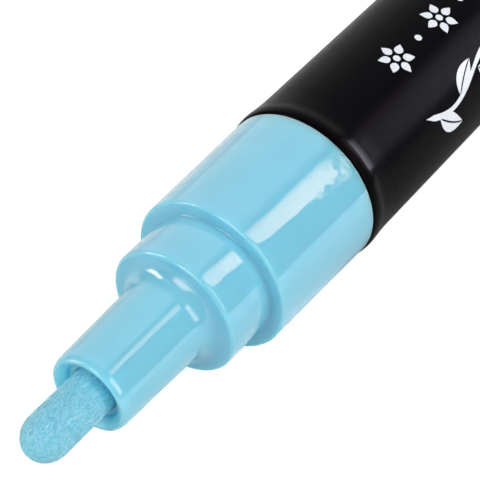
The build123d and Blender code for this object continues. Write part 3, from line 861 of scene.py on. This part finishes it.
# Cap liner: thin soft cup for the nose and nib
linerSpec = {"bore": 4.2, "wall": 0.8, "flange": 6.08, "flangeThickness": 1.4, "flangeEdge": 0.1,
             "flangeRoot": 0.2, "floor": 0.8, "endRound": 0.8, "boreRound": 0.4, "segments": 160}


def capLiner(spec):
    # an outline turned round the axis
    start, end = station(linerLow.x), station(linerHigh.x)
    outer = spec["bore"] + spec["wall"]
    return lathe("capLiner", [
        (end, 0, 0),
        (end, outer, spec["endRound"]),
        (start + spec["flangeThickness"], outer, spec["flangeRoot"]),
        (start + spec["flangeThickness"], spec["flange"], spec["flangeEdge"]),
        (start, spec["flange"], spec["flangeEdge"]),
        (start, spec["bore"], spec["boreRound"]),
        (end - spec["floor"], spec["bore"], spec["boreRound"]),
        (end - spec["floor"], 0, 0)], closed=False, segments=spec["segments"])


dress(capLiner(linerSpec), natural, "cap_set", "natural_plastic", "cap_liner")
print("cap and plug done")

# Valve spring: round wire on a helix between the ends of the model's spring
springSpec = {"wire": 0.4, "turns": 7, "squeezed": 6.6, "free": 8.6,
              "steps": 40, "sides": 12, "sharpAngle": 60}


def valveSpring(spec):
    # a circle as thick as the wire, carried along the helix at right angles to it
    wire = spec["wire"] / 2
    radius = (springHigh.z - springLow.z) / 2 / mm - wire
    turn = np.linspace(0, 2 * np.pi * spec["turns"], spec["turns"] * spec["steps"] + 1)
    along = np.linspace(station(springLow.x) + wire, station(springHigh.x) - wire, len(turn))
    path = np.stack([along, radius * np.cos(turn), radius * np.sin(turn)], axis=1)
    heading = np.gradient(path, axis=0)
    heading /= np.linalg.norm(heading, axis=1, keepdims=True)
    outward = np.stack([np.zeros_like(turn), np.cos(turn), np.sin(turn)], axis=1)
    third = np.cross(heading, outward)
    side = np.linspace(0, 2 * np.pi, spec["sides"], endpoint=False)[:, None, None]
    ring = path + wire * (np.cos(side) * outward + np.sin(side) * third)
    # both cut ends close on their middle point
    first, last = (np.broadcast_to(middle, (spec["sides"], 1, 3)) for middle in (path[0], path[-1]))
    grid = np.concatenate([first, ring, last], axis=1)
    points = scenePoints(grid[..., 0], -grid[..., 1], grid[..., 2])
    faces = gridFaces(spec["sides"], len(turn) + 2, True, False)
    return makePiece("springCoil", points, faces, spec["sharpAngle"])


coil = dress(valveSpring(springSpec), steel, "marker", "steel", "valve_spring")
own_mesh(coil)

# Inner pieces keep their solids and get their own finishes
innerFinishes = {"seal_ring": rubber, "valve_seat": natural, "valve_stem": natural, "valve_seal": rubber,
                 "valve_cage": natural, "mixing_ball": steel}
for nodeName, material in innerFinishes.items():
    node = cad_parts[nodeName]
    node.data.materials.clear()
    node.data.materials.append(material)
print("inner pieces done")

# Stage: pale table, white surroundings, two bright reflectors towards the tail, fills and highlights
stageSpec = {"tableReach": 3.0, "tableEdge": -0.11, "tableColour": 0.7, "tableLift": 0.65,
             # the mirrored values and reaches paint the table's shade and light as reflections see it,
             # barrelShade a painted shadow beside the barrel
             "tableSheen": 0.02, "mirroredNear": 1.02, "mirroredRight": 2.0, "mirroredLeft": 1.25,
             "nearReach": 0.003, "farReach": 0.035, "barrelShade": 0.92, "shadeAhead": 0.003,
             "shadeBehind": 0.004, "shadeFall": 4.0, "skyDiffuse": 0.345, "skyBright": 1.7, "skyDark": 0.15,
             "sideBright": -0.13, "sideDark": -0.27, "frontBright": 0.42, "frontDark": 0.1}
# a reflector's outline as seen from the marker: share of +X, then the two angles from upright towards -Y
reflectorSpecs = {
    "keyReflector": {"share": (0.44, 0.507, 0.555, 0.575, 0.59, 0.60, 0.606, 0.6115, 0.6135),
                     "upperAngle": (23.3, 23, 21.8, 23.5, 24.6, 24.6, 25, 27, 29),
                     "lowerAngle": (35, 37, 44, 50, 52, 52.5, 55, 69, 64),
                     "radiance": (5.0, 5.0, 6.6, 8.8, 9.2, 9.2, 9.2, 9.2, 9.2),
                     "softEdge": 0.3, "columns": 80, "tint": (1.0, 0.64, 0.45)},
    "tailReflector": {"share": (0.668, 0.72, 0.80), "upperAngle": (28, 30, 34), "lowerAngle": (76, 82, 86),
                      "radiance": (19.0, 19.0, 19.0),
                      "softEdge": 0.35, "columns": 20, "tint": (0.94, 0.92, 1.1)}}
panelSpec = {"distance": 6.0, "rows": 16, "edgeGlow": 0.45}
# fills light the surfaces and show in no reflection, highlights show in reflections alone
fillSpecs = {
    "leftFill": {"towards": (-0.57, 0.77, 0.30), "width": 0.30, "height": 0.45, "radiance": 8.4},
    "frontFill": {"towards": (-0.94, 0.10, 0.32), "width": 0.30, "height": 0.30, "radiance": 8.6},
    "topFill": {"towards": (0.0, -0.63, 0.78), "width": 0.9, "height": 0.9, "radiance": 4.2}}
highlightSpecs = {
    "leftLamp": {"towards": (-0.555, 0.755, 0.36), "width": 0.30, "height": 0.88, "radiance": 13.0},
    "frontLamp": {"towards": (-0.925, 0.11, 0.365), "width": 0.52, "height": 0.80, "radiance": 7.2},
    "rightLamp": {"towards": (0.058, -0.866, 0.496), "width": 0.62, "height": 0.90, "radiance": 6.2}}
fillTint, highlightTint = (1, 1, 1), (1.0, 0.72, 0.58)
lampDistance = 1.2
white = (1, 1, 1, 1)


def tableMaterial(spec):
    # a pale matt top that the camera and reflections see lifted towards white, still holding its shadow
    material = bpy.data.materials.new("paleTable")
    tree = emptyTree(material)
    links = tree.links
    x, y = placeParts(tree, "ShaderNodeNewGeometry", "Position")
    # in reflections the table grows lighter away from the marker, on the right more than on the left: painted
    # shade close to the marker and painted light on the right, on top of its real shading
    near = spec["mirroredNear"]
    far = remapped(tree, calculated(tree, "ABSOLUTE", y), spec["nearReach"], spec["farReach"])
    gain = remapped(tree, y, -spec["nearReach"], spec["nearReach"],
                    spec["mirroredRight"] - near, spec["mirroredLeft"] - near)
    mirrored = calculated(tree, "MULTIPLY_ADD", far, gain, near)
    # and it is darker close beside the barrel: a painted shadow, seen in reflections
    beside = remapped(tree, x, barrelLow.x - spec["shadeAhead"], barrelLow.x + spec["shadeBehind"],
                      0.0, spec["barrelShade"])
    close = calculated(tree, "POWER", calculated(tree, "SUBTRACT", 1.0, far), spec["shadeFall"])
    kept = calculated(tree, "SUBTRACT", 1.0, calculated(tree, "MULTIPLY", close, beside))
    dimmed = calculated(tree, "MULTIPLY", mirrored, kept)
    path = addNode(tree, "ShaderNodeLightPath")
    reflected = path.outputs["Is Glossy Ray"]
    seen = calculated(tree, "MULTIPLY", path.outputs["Is Camera Ray"], spec["tableLift"])
    lift = calculated(tree, "MULTIPLY_ADD", reflected, spec["tableSheen"], seen)
    matt = addNode(tree, "ShaderNodeBsdfDiffuse")
    lifted = addNode(tree, "ShaderNodeEmission", {"Color": white})
    both = addNode(tree, "ShaderNodeAddShader")
    out = addNode(tree, "ShaderNodeOutputMaterial")
    links.new(mixed(tree, reflected, spec["tableColour"], dimmed, "FLOAT"), matt.inputs["Color"])
    links.new(lift, lifted.inputs["Strength"])
    links.new(matt.outputs[0], both.inputs[0])
    links.new(lifted.outputs[0], both.inputs[1])
    links.new(both.outputs[0], out.inputs["Surface"])
    return material


def buildTable(spec):
    # one flat rectangle, which ends a little way to the right of the marker
    reach, edge = spec["tableReach"], spec["tableEdge"]
    mesh = bpy.data.meshes.new("table")
    corners = [(-reach, edge, 0), (reach, edge, 0), (reach, reach, 0), (-reach, reach, 0)]
    mesh.from_pydata(corners, [], [(0, 1, 2, 3)])
    table = bpy.data.objects.new("table", mesh)
    scene.collection.objects.link(table)
    mesh.materials.append(tableMaterial(spec))


def buildWorld(spec):
    # white to the camera, plain soft light on the object, and in reflections dark towards the front and -Y
    world = bpy.data.worlds.new("surroundings")
    scene.world = world
    tree = emptyTree(world)
    x, y = placeParts(tree, "ShaderNodeTexCoord", "Generated")
    side = remapped(tree, y, spec["sideDark"], spec["sideBright"])
    front = remapped(tree, x, spec["frontDark"], spec["frontBright"])
    bright = calculated(tree, "MULTIPLY", side, front)
    mirrored = remapped(tree, bright, 0.0, 1.0, spec["skyDark"], spec["skyBright"])
    path = addNode(tree, "ShaderNodeLightPath")
    light = mixed(tree, path.outputs["Is Glossy Ray"], spec["skyDiffuse"], mirrored, "FLOAT")
    strength = mixed(tree, path.outputs["Is Camera Ray"], light, 1.0, "FLOAT")
    sky = addNode(tree, "ShaderNodeBackground", {"Color": white})
    out = addNode(tree, "ShaderNodeOutputWorld")
    tree.links.new(strength, sky.inputs["Strength"])
    tree.links.new(sky.outputs[0], out.inputs["Surface"])


def buildReflector(name, spec, panel):
    # a curved panel: each point lies at the same distance, its share of +X and its angle from upright taken
    # from the outline, and it glows less towards its upper edge and towards the front
    share = np.linspace(spec["share"][0], spec["share"][-1], spec["columns"])[:, None]
    step = np.linspace(0, 1, panel["rows"])[None, :]
    upper, lower, radiance = (np.interp(share, spec["share"], spec[key])
                              for key in ("upperAngle", "lowerAngle", "radiance"))
    angle = np.radians(upper + (lower - upper) * step)
    side = np.sqrt(1 - share ** 2)
    toward = np.stack(np.broadcast_arrays(share, -side * np.sin(angle), side * np.cos(angle)), axis=-1)
    points = np.array(aimPoint) + panel["distance"] * toward
    soft = np.clip(panel["edgeGlow"] + (1 - panel["edgeGlow"]) * step / spec["softEdge"], 0, 1)
    glow = (radiance * soft).astype(np.float32)
    faces = gridFaces(spec["columns"], panel["rows"], False, False)
    mesh = bpy.data.meshes.new(name)
    mesh.from_pydata(points.reshape(-1, 3).tolist(), [], faces.tolist())
    mesh.attributes.new("glow", "FLOAT", "POINT").data.foreach_set("value", glow.ravel())
    material = bpy.data.materials.new(name + "Glow")
    tree = emptyTree(material)
    light = addNode(tree, "ShaderNodeEmission", {"Color": (*spec["tint"], 1)})
    level = addNode(tree, "ShaderNodeAttribute", attribute_name="glow")
    out = addNode(tree, "ShaderNodeOutputMaterial")
    tree.links.new(level.outputs["Fac"], light.inputs["Strength"])
    tree.links.new(light.outputs[0], out.inputs["Surface"])
    mesh.materials.append(material)
    reflector = bpy.data.objects.new(name, mesh)
    reflector.visible_camera = False
    reflector.visible_diffuse = False
    scene.collection.objects.link(reflector)


def buildLamp(name, spec, tint, lights):
    # a rectangular lamp in the given direction, facing the marker, its height in the upright plane: it
    # either lights surfaces or shows in their gloss
    toward = Vector(spec["towards"]).normalized()
    sideways = Vector((0, 0, 1)).cross(toward).normalized()
    upward = toward.cross(sideways)
    data = bpy.data.lights.new(name, "AREA")
    data.shape, data.size, data.size_y = "RECTANGLE", spec["width"], spec["height"]
    data.energy = spec["radiance"] * np.pi * spec["width"] * spec["height"]
    data.color = tint
    lamp = bpy.data.objects.new(name, data)
    lamp.visible_diffuse, lamp.visible_glossy = lights, not lights
    scene.collection.objects.link(lamp)
    turned = Matrix((sideways, upward, toward)).transposed().to_4x4()
    lamp.matrix_world = Matrix.Translation(aimPoint + toward * lampDistance) @ turned


buildTable(stageSpec)
buildWorld(stageSpec)
for reflectorName, reflectorSpec in reflectorSpecs.items():
    buildReflector(reflectorName, reflectorSpec, panelSpec)
for lampName, lampSpec in fillSpecs.items():
    buildLamp(lampName, lampSpec, fillTint, True)
for lampName, lampSpec in highlightSpecs.items():
    buildLamp(lampName, lampSpec, highlightTint, False)
print("stage done")
